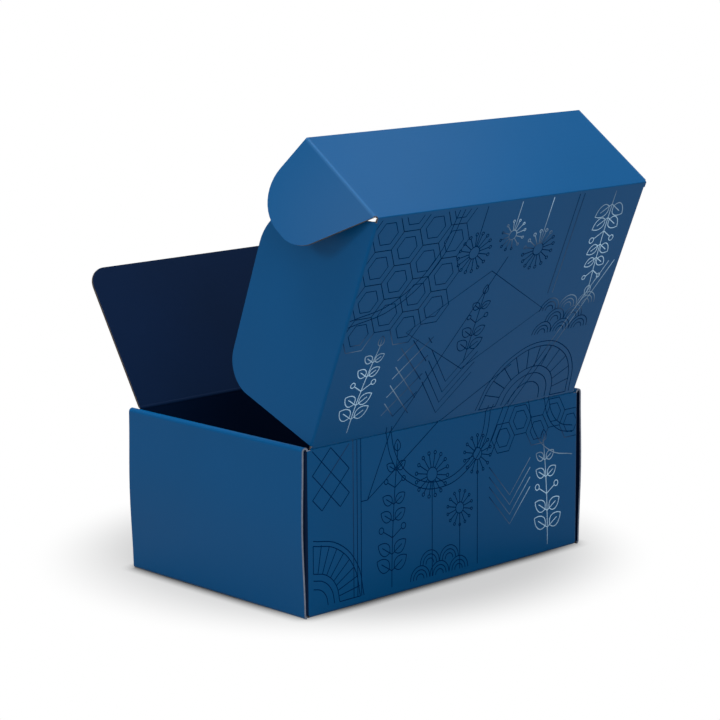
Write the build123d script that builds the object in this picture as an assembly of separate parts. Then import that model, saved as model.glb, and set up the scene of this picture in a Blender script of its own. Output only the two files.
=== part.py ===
from build123d import *
import math
import os

# Roll end mailer box with a tuck top, folded from thin fluted board and shown standing open.
# Millimetres. The origin is the centre of the base's underside, +Z is up, the front wall is at
# -Y, the lid turns on the rear wall at +Y, and right is +X.

# Driving sizes
width = 230.0
depth = 152.0
height = 98.0
board = 1.2            # thickness of the fluted board
bend = 0.6             # inside radius of a fold between two fixed panels
layer_gap = 0.2        # air between two layers of the rolled side wall
crease_gap = 0.3       # air between the two panels that a crease joins
slip = 0.3             # side clearance of a flap that tucks in

# Lid, with its two side wings
lid_length = 144.0     # from the hinge to the fold of the tuck flap
lid_lean = 22.3        # degrees past upright, as it stands open
wing_start = 2.0       # from the hinge to the wing's rear edge
wing_root = 141.0      # from the hinge to the other end of the wing's crease
wing_peak = 112.0      # from the hinge to the wing's far corner
wing_reach = 78.5      # from the lid to that corner
wing_taper = 3.5       # how much less the wing reaches at its rear corner
wing_rear_radius = 19.0
wing_front_radius = 33.0

# Tuck flap, with its two ears
tuck_length = 65.7
tuck_fold = 76.5       # degrees from flat, inwards
ear_start = 1.5        # from the lid's end to the ear
ear_depth = 46.0
ear_slope = 27.0       # degrees, the slant of the ear's edge beside the lid
ear_rear_radius = 18.0
ear_front_radius = 24.0
ear_fold = 68.0        # degrees from flat, inwards

# Front flap, which lines the front wall when it is folded in
flap_width = 216.0
flap_length = 92.0
flap_radius = 12.0
flap_lean = 31.4       # degrees past upright, outwards

# Corner flaps within the rolled side walls, and the tabs that lock those walls to the base
corner_flap_length = 62.0
corner_flap_radius = 9.0
tab_width = 26.0
tab_spacing = 76.0
tab_radius = 0.5
tab_lift = 0.3         # from the underside up to a tab's end
foot_gap = 0.3         # from the base up to the lining of a side wall

# Worked out from the sizes above
axis_inset = crease_gap / 2                  # from a panel's inner face to its crease's axis
fold_radius = bend + board                   # outside of a fold between two fixed panels
roll_radius = (3 * board + 2 * layer_gap) / 2
inner_half = width / 2 - 2 * roll_radius     # inner face of a rolled side wall
ear_half = inner_half - slip                 # outer face of an ear that is folded square
wing_half = ear_half - board - slip          # outer face of a wing
corner_half = width / 2 - board - layer_gap  # outer face of a corner flap
crease_half = inner_half - layer_gap         # half the crest that carries the lid
shoulder = height - roll_radius - layer_gap  # top of the front and rear walls under the roll
hinge_y = depth / 2 - board - axis_inset
hinge_z = height - board - axis_inset
lid_half = wing_half - board - axis_inset    # half of the lid's flat part
tuck_half = ear_half - board / 2             # from the middle to an ear's axis
face_root = axis_inset + board + crease_gap  # from a wall's top crease to the panel on it
edge_root = board / 2 + crease_gap           # the same, where the axis is in mid board


def sheet(outline, inner=axis_inset):
    """An outline of a panel, as board whose inner face lies that far above the outline's plane."""
    return extrude(Pos(0, 0, inner) * outline, amount=board)


def folded_strip(plane, path, length):
    """Board whose outer face follows a path in a plane, run out both ways from the plane."""
    section = make_face(offset(path, amount=board, side=Side.LEFT, closed=True))
    return extrude(plane * section, amount=length / 2, both=True)


def rise(edge, top):
    """The outer face of a wall in section: the quarter turn from the base, then straight up."""
    turn = CenterArc((edge - fold_radius, fold_radius), fold_radius, -90, 90)
    return turn + Line(turn @ 1, (edge, top))


# Tray


def crest():
    """The top of the rear wall between the rolls, rounded over where the lid's crease begins."""
    outer, inner = depth / 2, depth / 2 - board
    over = CenterArc((inner, hinge_z), board, 0, 90)
    section = make_face(
        Polyline(over @ 1, (inner, shoulder), (outer, shoulder), over @ 0) + over
    )
    return extrude(Plane.YZ * section, amount=crease_half, both=True)


def corner_flap():
    """The rear wall's right end: the bend and the flap that stands inside the side wall."""
    turn = CenterArc((corner_half - fold_radius, depth / 2 - fold_radius), fold_radius, 0, 90)
    path = Line((corner_half, depth / 2 - corner_flap_length), turn @ 0) + turn
    tall = shoulder - fold_radius
    flap = Pos(0, 0, fold_radius + tall / 2) * folded_strip(Plane.XY, path, tall)
    ends = flap.edges().filter_by(Axis.X).group_by(Axis.Y)[0]
    return fillet(ends, corner_flap_radius)


def end_wall():
    """The rear wall, folded up from the base, with its crest and both corner flaps."""
    panel = folded_strip(Plane.YZ, rise(depth / 2, shoulder), 2 * (corner_half - fold_radius))
    flap = corner_flap()
    return panel + crest() + flap + mirror(flap, about=Plane.YZ)


def side_lining():
    """The right side wall's inner layer, with the two tabs on its foot."""
    crown = height - roll_radius
    foot = board + foot_gap
    panel = Rectangle(depth - 2 * fold_radius, crown - foot, align=(Align.CENTER, Align.MIN))
    tab = Rectangle(tab_width, crown - tab_lift, align=(Align.CENTER, Align.MIN))
    tab = fillet(tab.vertices().group_by(Axis.Y)[0], tab_radius)
    outline = Pos(0, foot) * panel
    for y in (-tab_spacing / 2, tab_spacing / 2):
        outline += Pos(y, tab_lift) * tab
    return extrude(Plane.YZ.offset(inner_half) * outline, amount=board)


def side_wall():
    """The right side wall: up from the base, rolled over at the top and down inside."""
    crown = height - roll_radius
    roll = CenterArc((width / 2 - roll_radius, crown), roll_radius, 0, 180)
    return folded_strip(Plane.XZ, rise(width / 2, crown) + roll, depth) + side_lining()


def base():
    """The floor, with a slot for each tab of the side walls' linings."""
    floor = Box(
        width - 2 * fold_radius,
        depth - 2 * fold_radius,
        board,
        align=(Align.CENTER, Align.CENTER, Align.MIN),
    )
    slot = Box(board + 2 * layer_gap, tab_width + 2 * slip, 3 * board)
    for x in (-inner_half - board / 2, inner_half + board / 2):
        for y in (-tab_spacing / 2, tab_spacing / 2):
            floor -= Pos(x, y, 0) * slot
    return floor


def tray():
    """The folded tray: base, front and rear walls, corner flaps and rolled side walls."""
    rear = end_wall()
    right = side_wall()
    return base() + rear + mirror(rear, about=Plane.XZ) + right + mirror(right, about=Plane.YZ)


# Where each loose panel stands. A panel's own x runs along its crease, y away from the crease
# and z towards its outer face. The panels beside the lid and the tuck flap are the right ones.

rear_crease = Plane(origin=(0, hinge_y, hinge_z), x_dir=(-1, 0, 0), z_dir=(0, 1, 0)).location
front_crease = Plane(origin=(0, -hinge_y, hinge_z), x_dir=(1, 0, 0), z_dir=(0, -1, 0)).location
mid_board = axis_inset + board / 2
lid_place = rear_crease * Rot(lid_lean, 0, 0)
flap_place = front_crease * Rot(flap_lean, 0, 0)
tuck_place = lid_place * Pos(0, lid_length, mid_board) * Rot(-tuck_fold, 0, 0)
wing_place = lid_place * Pos(-lid_half, 0, 0) * Rot(0, 0, 90) * Rot(-90, 0, 0)
ear_place = tuck_place * Pos(-tuck_half, 0, 0) * Rot(0, 0, 90) * Rot(-ear_fold, 0, 0)


def lid():
    """The lid's panel, rounded over along both wings' creases and at the tuck flap's fold."""
    panel = Pos(0, face_root) * Rectangle(
        2 * lid_half, lid_length - face_root, align=(Align.CENTER, Align.MIN)
    )
    run = wing_root - wing_start
    quarter = make_face(
        Line((0, board), (0, 0)) + Line((0, 0), (board, 0)) + CenterArc((0, 0), board, 0, 90)
    )
    edge = Pos(lid_half, wing_start + run, axis_inset) * extrude(Plane.XZ * quarter, amount=run)
    nose = Pos(0, lid_length, mid_board) * Rot(0, 90, 0) * Cylinder(board / 2, 2 * lid_half)
    return sheet(panel) + edge + mirror(edge, about=Plane.YZ) + nose


def wing():
    """The right wing, which stands square to the lid and narrows towards the tuck flap."""
    outline = Polyline(
        (wing_start, crease_gap),
        (wing_start, wing_reach - wing_taper),
        (wing_peak, wing_reach),
        (wing_root, crease_gap),
        close=True,
    )
    face = make_face(outline)
    rear, front = face.vertices().sort_by(Axis.Y)[2:]
    face = fillet(rear, wing_rear_radius)
    front = face.vertices().group_by(Axis.Y)[-1]
    return sheet(fillet(front, wing_front_radius))


def tuck_flap():
    """The tuck flap, rounded over at both ends where the ears are creased on."""
    panel = Pos(0, edge_root) * Rectangle(
        2 * tuck_half, tuck_length - edge_root, align=(Align.CENTER, Align.MIN)
    )
    run = tuck_length - ear_start
    edge = Pos(tuck_half, ear_start + run / 2, 0) * Rot(90, 0, 0) * Cylinder(board / 2, run)
    return sheet(panel, inner=-board / 2) + edge + mirror(edge, about=Plane.YZ)


def ear():
    """The right ear, slanted beside the lid and rounded at both of its free corners."""
    lead = ear_depth * math.tan(math.radians(ear_slope))
    outline = Polyline(
        (ear_start, edge_root),
        (ear_start + lead, ear_depth),
        (tuck_length, ear_depth),
        (tuck_length, edge_root),
        close=True,
    )
    face = make_face(outline)
    rear, front = face.vertices().group_by(Axis.Y)[-1].sort_by(Axis.X)
    face = fillet(rear, ear_rear_radius)
    front = face.vertices().group_by(Axis.Y)[-1].sort_by(Axis.X)[-1]
    return sheet(fillet(front, ear_front_radius), inner=-board / 2)


def front_flap():
    """The front flap, with round corners at its free edge."""
    panel = Pos(0, face_root) * Rectangle(
        flap_width, flap_length - face_root, align=(Align.CENTER, Align.MIN)
    )
    return sheet(fillet(panel.vertices().group_by(Axis.Y)[-1], flap_radius))


right_wing = wing_place * wing()
right_ear = ear_place * ear()
nodes = {
    "tray": tray(),
    "lid": lid_place * lid(),
    "wing_right": right_wing,
    "wing_left": mirror(right_wing, about=Plane.YZ),
    "tuck_flap": tuck_place * tuck_flap(),
    "ear_right": right_ear,
    "ear_left": mirror(right_ear, about=Plane.YZ),
    "front_flap": flap_place * front_flap(),
}

os.makedirs("parts", exist_ok=True)
for name, solid in nodes.items():
    export_step(solid, f"parts/{name}.step")
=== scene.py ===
# %% [markdown]
# # A printed mailer box, standing open
#
# The real box is one sheet of thin corrugated board, printed on both sides, die-cut flat and then
# folded. It could be modelled as it stands, face by face. This lesson makes it in the maker's order
# instead: each panel is cut flat, scored where it bends, given the thickness of the board, and
# folded into the place that the imported CAD part holds. That keeps every length of the sheet true,
# and the grain and the print run on through each fold.
#
# The imported part is loaded first and stays fixed. Most pieces made here ride on one of its bodies. The
# creases between panels that move, and the ink on the hinge, are folded with them and stay where they
# are folded.

# %% Load the imported part
import bpy
import bmesh
import math
from mathutils import Matrix, Vector


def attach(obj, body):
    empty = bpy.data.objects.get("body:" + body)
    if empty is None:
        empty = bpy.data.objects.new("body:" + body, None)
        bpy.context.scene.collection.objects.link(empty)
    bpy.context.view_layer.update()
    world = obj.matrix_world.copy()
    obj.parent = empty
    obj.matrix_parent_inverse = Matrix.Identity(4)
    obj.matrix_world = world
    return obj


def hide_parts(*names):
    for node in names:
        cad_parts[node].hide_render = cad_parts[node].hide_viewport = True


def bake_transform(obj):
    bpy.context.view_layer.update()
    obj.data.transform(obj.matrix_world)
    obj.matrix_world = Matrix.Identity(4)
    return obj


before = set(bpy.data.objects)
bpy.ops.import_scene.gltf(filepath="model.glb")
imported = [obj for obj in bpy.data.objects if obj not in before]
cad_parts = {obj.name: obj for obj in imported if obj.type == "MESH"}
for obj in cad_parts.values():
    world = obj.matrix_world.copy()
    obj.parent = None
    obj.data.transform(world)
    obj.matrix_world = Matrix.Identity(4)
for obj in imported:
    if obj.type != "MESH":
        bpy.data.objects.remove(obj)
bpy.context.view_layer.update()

# %% [markdown]
# ## The sizes of the box
#
# They are the CAD source's own, in millimetres, under the same names. Meshes are drawn in
# millimetres too and are brought to metres in one step at the end, because a box maker thinks of
# a 1.2 mm board and a 98 mm wall, and such numbers are easy to check by eye.

# %% Sizes in millimetres
WIDTH, DEPTH, HEIGHT = 230.0, 152.0, 98.0
BOARD = 1.2                                    # thickness of the fluted board
BEND = 0.6                                     # inside radius of a fold between two fixed panels
LAYER_GAP = 0.2                                # air between two layers of a rolled side wall
CREASE_GAP = 0.3                               # air between the two CAD panels of a crease
SLIP = 0.3                                     # side clearance of a flap that tucks in
LID_LENGTH, LID_LEAN = 144.0, 22.3             # the lean is in degrees past upright
WING_START, WING_ROOT = 2.0, 141.0             # both ends of the wing's crease, from the hinge
WING_PEAK, WING_REACH, WING_TAPER = 112.0, 78.5, 3.5
WING_REAR_RADIUS, WING_FRONT_RADIUS = 19.0, 33.0
TUCK_LENGTH, TUCK_FOLD = 65.7, 76.5
EAR_START, EAR_DEPTH, EAR_SLOPE, EAR_FOLD = 1.5, 46.0, 27.0, 68.0
EAR_REAR_RADIUS, EAR_FRONT_RADIUS = 18.0, 24.0
FLAP_HALF, FLAP_LENGTH, FLAP_RADIUS, FLAP_LEAN = 108.0, 92.0, 12.0, 31.4
CORNER_FLAP_LENGTH, CORNER_FLAP_RADIUS = 62.0, 9.0
TAB_WIDTH, TAB_SPACING, TAB_RADIUS, TAB_LIFT = 26.0, 76.0, 0.5, 0.3
FOOT_GAP = 0.3                                 # from the base up to the lining of a side wall

# %% Sizes worked out from them
AXIS_INSET = CREASE_GAP / 2                    # from a panel's inner face to its crease's axis
FOLD_RADIUS = BEND + BOARD
ROLL_RADIUS = (3 * BOARD + 2 * LAYER_GAP) / 2
INNER_HALF = WIDTH / 2 - 2 * ROLL_RADIUS       # inner face of a rolled side wall
EAR_HALF = INNER_HALF - SLIP
WING_HALF = EAR_HALF - BOARD - SLIP
CORNER_HALF = WIDTH / 2 - BOARD - LAYER_GAP    # outer face of a corner flap
SHOULDER = HEIGHT - ROLL_RADIUS - LAYER_GAP    # top of the end walls, under the rolls
HINGE_Y = DEPTH / 2 - BOARD - AXIS_INSET
HINGE_Z = HEIGHT - BOARD - AXIS_INSET
LID_HALF = WING_HALF - BOARD - AXIS_INSET
TUCK_HALF = EAR_HALF - BOARD / 2
FACE_ROOT = AXIS_INSET + BOARD + CREASE_GAP    # from a wall's top crease to the panel on it
MM = 0.001
print("hinge at", round(HINGE_Y, 2), round(HINGE_Z, 2), "and lid half-width", round(LID_HALF, 2))

# %% [markdown]
# ## Where each fold lies on the flat sheet
#
# On the flat sheet x runs to the box's right, y from the middle of the base to the rear, and the
# printed side is down at z 0, so the inside of the box is up. A fold takes up a little of the
# sheet's length. For a bend between fixed panels that is its arc at the middle of the board. From
# these lengths follows where every panel lies before it is folded, and that flat place is kept on
# each mesh for the grain of the board, which runs through the creases as it does in the real one.

# %% Flat places of the folds
BEND_ARC = (BEND + BOARD / 2) * math.pi / 2
BASE_X, BASE_Y = WIDTH / 2 - FOLD_RADIUS, DEPTH / 2 - FOLD_RADIUS
WALL_Y = BASE_Y + BEND_ARC                    # an end wall begins here, at the height FOLD_RADIUS
TOP_Y = WALL_Y + SHOULDER - FOLD_RADIUS       # and ends here, under the rolled side walls
HINGE_AT = WALL_Y + HINGE_Z - FOLD_RADIUS     # the lid's crease; the front flap's is its mirror
TUCK_AT = HINGE_AT + LID_LENGTH
print("flat length from base to tuck fold:", round(TUCK_AT, 1), "mm")

# %% [markdown]
# ## Cutting a panel
#
# A panel is one flat face. Its corners are given in order with the radius that each is rounded to.
# A vertex bevel makes the round: a bevel is measured along the edge, and a corner of angle a needs
# r / tan(a / 2) of it for the radius r.

# %% Cut a flat panel with rounded corners
ROUND_SEGMENTS = 12


def cut_panel(corners):
    """A flat face through (x, y) or (x, y, radius) corners, at z 0."""
    bm = bmesh.new()
    verts = [bm.verts.new((c[0], c[1], 0)) for c in corners]
    bm.faces.new(verts)
    offsets = {}
    for i, c in enumerate(corners):
        if len(c) == 3 and c[2] > 0:
            here = verts[i].co
            before, after = verts[i - 1].co - here, verts[(i + 1) % len(verts)].co - here
            offsets[verts[i]] = c[2] / math.tan(before.angle(after) / 2)
    for vert, offset in offsets.items():
        bmesh.ops.bevel(
            bm, geom=[vert], offset=offset, segments=ROUND_SEGMENTS, profile=0.5,
            affect="VERTICES", material=-1,
        )
    if bm.faces[:][0].normal.z < 0:
        bmesh.ops.reverse_faces(bm, faces=bm.faces[:])
    return bm


# %% [markdown]
# Score lines are cut across the flat face with a plane. They only put rows of vertices where the
# board will turn, and one more row beside each bend, so that the smooth shading of the bend does
# not run out over the flat panel.

# %% Score a panel
INDEX = {"x": 0, "y": 1}
UNIT = {"x": Vector((1, 0, 0)), "y": Vector((0, 1, 0))}
SNAP = 1e-5                                    # a vertex this near to a score line is on it
BESIDE = 0.5                                   # from a bend to the row beside it


def score(bm, places, along):
    """Cut rows of vertices at these places, measured along x or y."""
    for place in places:
        bmesh.ops.bisect_plane(
            bm, geom=bm.verts[:] + bm.edges[:] + bm.faces[:], dist=SNAP,
            plane_co=UNIT[along] * place, plane_no=UNIT[along],
        )


def zone(start, length, steps):
    """The score lines of one bend: its facets, and a line beside it on both sides."""
    turn = [start + length * i / steps for i in range(steps + 1)]
    beside = math.copysign(BESIDE, length)
    return [start - beside, *turn, start + length + beside]


# %% [markdown]
# ## Thickness, and which side is which
#
# Extruding the flat face gives the board its 1.2 mm. While it is still flat, it is easy to say what
# each face is: the printed outside looks down, the inside looks up, and the rest are cut edges. The
# flutes of this board run across the box, along x, so a cut along x opens one flute lengthways and
# a cut along y shows the wave of the fluted middle layer. Each gets a material of its own.

# %% Give a panel its thickness
OUTSIDE, INSIDE, CUT_ACROSS, CUT_ALONG = range(4)
FACES_FLAT, FACES_ALONG = 0.5, 0.9             # how much of a face's normal has to point that way


def thicken(bm):
    """Board from z 0, the printed outside, up to the inside. Writes each vertex's flat place."""
    grown = bmesh.ops.extrude_face_region(bm, geom=bm.faces[:])["geom"]
    bmesh.ops.translate(
        bm, vec=(0, 0, BOARD), verts=[g for g in grown if isinstance(g, bmesh.types.BMVert)]
    )
    bmesh.ops.recalc_face_normals(bm, faces=bm.faces[:])
    for face in bm.faces:
        n = face.normal
        if abs(n.z) > FACES_FLAT:
            face.material_index = OUTSIDE if n.z < 0 else INSIDE
        else:
            face.material_index = CUT_ALONG if abs(n.y) > FACES_ALONG else CUT_ACROSS
    flat = bm.verts.layers.float_vector.new("flat_place")
    for vert in bm.verts:
        vert[flat] = vert.co * MM
    return bm


# %% [markdown]
# ## Folding
#
# A fold turns all that lies beyond its score lines, one facet at a time, and the last facet first,
# so that what has not been folded yet is still flat and easy to find by its flat place. Before each
# turn the part beyond is drawn back by what the facet takes up, so its rows end on the circle. A
# Simple Deform modifier bends too, but it bends a whole mesh along one axis, and a panel here is
# carried through up to four folds in different directions.

# %% Fold a panel
FOLD_AXIS = {"x": Vector((0, -1, 0)), "y": Vector((1, 0, 0))}
TINY = 1e-3                                    # less than any real distance between two rows


def fold(bm, start, length, height, angle, steps, along="y", pivot=None, only=None):
    """Turns what lies beyond start by an angle in degrees, upwards, in facets.

    A negative length folds what lies on the other side. The axis is at a height over z 0. Without a
    pivot the bend is an arc about its start. With one it turns about that line and keeps its length.
    """
    flat = bm.verts.layers.float_vector["flat_place"]
    way = math.copysign(1, length)
    turn = Matrix.Rotation(math.radians(angle) / steps, 3, FOLD_AXIS[along] * way)
    for i in reversed(range(steps)):
        line = start + length * i / steps
        beyond = [
            v for v in bm.verts
            if way * (v[flat][INDEX[along]] / MM - line) > TINY and (only is None or only(v[flat] / MM))
        ]
        if pivot is None:
            bmesh.ops.translate(bm, vec=-UNIT[along] * length / steps, verts=beyond)
        centre = UNIT[along] * (line if pivot is None else pivot) + Vector((0, 0, height))
        bmesh.ops.rotate(bm, cent=centre, matrix=turn, verts=beyond)


# %% [markdown]
# A folded mesh becomes an object at the origin, with its place in the mesh. All its faces are
# shaded smooth, and only edges that turn by more than 40 degrees are marked sharp. So a bend of
# several facets looks round and the die-cut edges of the board stay crisp.

# %% Finish a mesh as an object
SHARP_ANGLE = 40


def make_piece(bm, name, materials):
    """Brings the mesh to metres and makes an object of it, smooth but for its cut edges."""
    bmesh.ops.scale(bm, vec=(MM, MM, MM), verts=bm.verts[:])
    mesh = bpy.data.meshes.new(name)
    for face in bm.faces:
        face.smooth = True
    bm.to_mesh(mesh)
    bm.free()
    mesh.set_sharp_from_angle(angle=math.radians(SHARP_ANGLE))
    piece = bpy.data.objects.new(name, mesh)
    bpy.context.scene.collection.objects.link(piece)
    for material in materials:
        mesh.materials.append(material)
    print(name, "has", len(mesh.polygons), "faces")
    return piece


# %% [markdown]
# ## Colours and nodes
#
# Colours are written as the sRGB hex values that a picture editor shows, and one function turns
# them into the linear values that Blender mixes. One more function adds a node with its settings
# and its links, so that each material below reads as a short list.

# %% Colour and node helpers
def linear(code):
    """An sRGB hex colour as linear RGBA."""
    parts = [int(code[i : i + 2], 16) / 255 for i in (1, 3, 5)]
    return (*[c / 12.92 if c <= 0.04045 else ((c + 0.055) / 1.055) ** 2.4 for c in parts], 1.0)


def add(tree, kind, links=None, values=None, **settings):
    """Adds a node, sets its properties and input values, and links its inputs to other outputs."""
    node = tree.nodes.new("ShaderNode" + kind)
    for key, value in settings.items():
        setattr(node, key, value)
    for key, value in (values or {}).items():
        node.inputs[key].default_value = value
    for key, output in (links or {}).items():
        tree.links.new(output, node.inputs[key])
    return node


def new_material(name):
    """A material with an empty node tree."""
    material = bpy.data.materials.new(name)
    material.use_nodes = True
    tree = material.node_tree
    tree.nodes.clear()
    return material, tree


# %% [markdown]
# ## The printed outside
#
# The outside is a litho print in deep blue under a matt film. The eye sees an even colour with a
# wide, weak highlight, and at a low angle the faint ribs of the flutes under the paper, which the
# trade calls washboarding. The ribs are a sine along the flat sheet at the pitch of a fine E flute,
# and a wide noise varies the colour by a few percent, as ink on paper does. The grain of the paper
# is drawn at 0.35 mm, coarser than it is, so that it shows in a picture of the whole box.
#
# The ink has no red at all, because the haze of the film adds some. Where a crease strains the print,
# the film turns pale, and the same pale tone is also a painted highlight on the bend. How much is kept
# on the mesh as an attribute.

# %% Printed paper
FLUTE_PITCH = 3.2 * MM
GRAIN = 0.35 * MM
CLOUD = 60 * MM
RIB_HEIGHT, GRAIN_HEIGHT = 0.02 * MM, 0.01 * MM
UNEVEN = 0.05                                  # how far the roughness strays both ways
WAVE_UNIT = 20                                 # at scale 1 the sine turns 20 radians in a metre


def printed_face(name, light, dark, worn_and_sheen, roughness, shine):
    """A print that varies between two tones and turns to a third where it is strained, partly as a
    painted highlight.
    """
    material, tree = new_material(name)
    place = add(tree, "Attribute", attribute_name="flat_place").outputs["Vector"]
    cloud = add(tree, "TexNoise", {"Vector": place}, {"Scale": 1 / CLOUD, "Detail": 3.0})
    grain = add(tree, "TexNoise", {"Vector": place}, {"Scale": 1 / GRAIN, "Detail": 2.0})
    tone = add(tree, "Mix", {"Factor": cloud.outputs["Fac"]}, data_type="RGBA")
    tone.inputs["A"].default_value = linear(light)
    tone.inputs["B"].default_value = linear(dark)
    stretch_and_sheen = add(tree, "Attribute", attribute_name="stretch_and_sheen").outputs["Fac"]
    strained_and_sheen = add(tree, "Mix", {"Factor": stretch_and_sheen, "A": tone.outputs["Result"]}, data_type="RGBA")
    # the pale tone of a strained crease, which also paints the crease's highlight
    strained_and_sheen.inputs["B"].default_value = linear(worn_and_sheen)
    ribs = add(
        tree, "TexWave", {"Vector": place},
        {"Scale": 2 * math.pi / (WAVE_UNIT * FLUTE_PITCH), "Distortion": 0.0}, bands_direction="Y",
    )
    rough = add(tree, "MapRange", {"Value": grain.outputs["Fac"]})
    rough.inputs["To Min"].default_value = roughness - UNEVEN
    rough.inputs["To Max"].default_value = roughness + UNEVEN
    wash = add(
        tree, "Bump", {"Height": ribs.outputs["Fac"]}, {"Strength": 0.25, "Distance": RIB_HEIGHT}
    )
    paper = add(
        tree, "Bump", {"Height": grain.outputs["Fac"], "Normal": wash.outputs["Normal"]},
        {"Strength": 0.3, "Distance": GRAIN_HEIGHT},
    )
    surface = add(
        tree, "BsdfPrincipled",
        {
            "Base Color": strained_and_sheen.outputs["Result"], "Roughness": rough.outputs["Result"],
            "Normal": paper.outputs["Normal"],
        },
        {"IOR": 1.5, "Specular IOR Level": shine},
    )
    add(tree, "OutputMaterial", {"Surface": surface.outputs["BSDF"]})
    return material


blue_print = printed_face("matt_laminated_blue_print", "#004d81", "#004a7b", "#4f86ba", 0.34, 0.08)
print("the flutes are", round(FLUTE_PITCH / MM, 1), "mm apart")

# %% [markdown]
# ## The printed inside
#
# The inside is printed too, in a navy so dark that the open box reads as nearly black. It has no
# film, so it is rougher, and its highlight spreads so wide that the eye sees none.

# %% Uncoated navy print
navy_print = printed_face("uncoated_navy_print", "#00193a", "#001632", "#1a2c4c", 0.6, 0.08)
print("the inside is", navy_print.name)

# %% [markdown]
# ## Cut edges
#
# A die cut shows what the board is made of: two pale paper faces and a brown wave between them, and the
# hollows between, which are painted dark as their shade. On a cut across the flutes the wave is drawn
# from the flat place: at a height t through the board and a place y along the cut, the middle layer is
# where t is close to 0.5 + 0.36 sin(2 pi y / pitch). It could be modelled, but a wave of 1.2 mm is 2
# pixels high here.

# %% Die cut across the flutes
WAVE_HEIGHT = 0.36                             # half the wave, as a share of the board
FLUTING_HALF = 0.13                            # half the middle layer, drawn thicker than it is


def cut_across_flutes():
    """Two pale papers, a brown wave between them, and the painted shade of the hollows."""
    material, tree = new_material("die_cut_board_edge_across_flutes")
    place = add(tree, "Attribute", attribute_name="flat_place")
    parts = add(tree, "SeparateXYZ", {"Vector": place.outputs["Vector"]})
    depth = add(tree, "Math", {0: parts.outputs["Z"]}, {1: 1 / (BOARD * MM)}, operation="MULTIPLY")
    phase = add(
        tree, "Math", {0: parts.outputs["Y"]}, {1: 2 * math.pi / FLUTE_PITCH}, operation="MULTIPLY"
    )
    wave = add(tree, "Math", {0: phase.outputs[0]}, operation="SINE")
    middle = add(tree, "Math", {0: wave.outputs[0]}, {1: WAVE_HEIGHT, 2: 0.5}, operation="MULTIPLY_ADD")
    apart = add(tree, "Math", {0: depth.outputs[0], 1: middle.outputs[0]}, operation="SUBTRACT")
    away = add(tree, "Math", {0: apart.outputs[0]}, operation="ABSOLUTE")
    fluting = add(tree, "Math", {0: away.outputs[0]}, {1: FLUTING_HALF}, operation="LESS_THAN")
    centre = add(tree, "Math", {0: depth.outputs[0]}, {1: 0.5}, operation="SUBTRACT")
    outer = add(tree, "Math", {0: centre.outputs[0]}, operation="ABSOLUTE")
    liner = add(tree, "Math", {0: outer.outputs[0]}, {1: WAVE_HEIGHT}, operation="GREATER_THAN")
    # the hollows' near-black is painted shade; the brown is the fluting itself
    wave_and_hollow_shade = add(tree, "Mix", {"Factor": fluting.outputs[0]}, data_type="RGBA")
    wave_and_hollow_shade.inputs["A"].default_value = linear("#17130f")
    wave_and_hollow_shade.inputs["B"].default_value = linear("#5d4a38")
    paper = add(
        tree, "Mix", {"Factor": liner.outputs[0], "A": wave_and_hollow_shade.outputs["Result"]}, data_type="RGBA"
    )
    paper.inputs["B"].default_value = linear("#77726e")
    surface = add(
        tree, "BsdfPrincipled", {"Base Color": paper.outputs["Result"]},
        {"Roughness": 0.9, "IOR": 1.45},
    )
    add(tree, "OutputMaterial", {"Surface": surface.outputs["BSDF"]})
    return material


# %% [markdown]
# A cut along the flutes runs in one flute, whose side is pressed shut by the knife. So it reads as
# one pale, slightly uneven line of torn fibres, and a noise of 2.5 mm gives it that.

# %% Die cut along the flutes
FIBRES = 2.5 * MM


def cut_along_flutes():
    """One pale, uneven line of torn fibres."""
    material, tree = new_material("die_cut_board_edge_along_flutes")
    place = add(tree, "Attribute", attribute_name="flat_place").outputs["Vector"]
    fibres = add(tree, "TexNoise", {"Vector": place}, {"Scale": 1 / FIBRES, "Detail": 4.0})
    tone = add(tree, "Mix", {"Factor": fibres.outputs["Fac"]}, data_type="RGBA")
    tone.inputs["A"].default_value = linear("#5e6473")
    tone.inputs["B"].default_value = linear("#8792a6")
    bump = add(
        tree, "Bump", {"Height": fibres.outputs["Fac"]}, {"Strength": 0.5, "Distance": 0.1 * MM}
    )
    surface = add(
        tree, "BsdfPrincipled",
        {"Base Color": tone.outputs["Result"], "Normal": bump.outputs["Normal"]},
        {"Roughness": 0.9, "IOR": 1.45},
    )
    add(tree, "OutputMaterial", {"Surface": surface.outputs["BSDF"]})
    return material


BOARD_SIDES = [blue_print, navy_print, cut_across_flutes(), cut_along_flutes()]
print("the sides of the board:", [material.name for material in BOARD_SIDES])

# %% [markdown]
# ## The base and the two end walls
#
# One strip of the sheet makes the base, the front wall and the rear wall, with a corner flap at both
# ends of each wall. Each wall could be a panel of its own, but one face that is scored and folded
# has no seam at its bends, as the board has none. A quarter of the outline is drawn here and
# mirrored for the rest.

# %% Cut and score the base and the end walls
CORNER_RADIUS = 2.5                            # outside radius at the box's upright corners
CORNER_ARC = (CORNER_RADIUS - BOARD / 2) * math.pi / 2
FLAP_TURN = CORNER_HALF - CORNER_RADIUS
FLAP_END = FLAP_TURN + CORNER_ARC + CORNER_FLAP_LENGTH - CORNER_RADIUS
STEPS = 6                                      # facets of a bend

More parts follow.
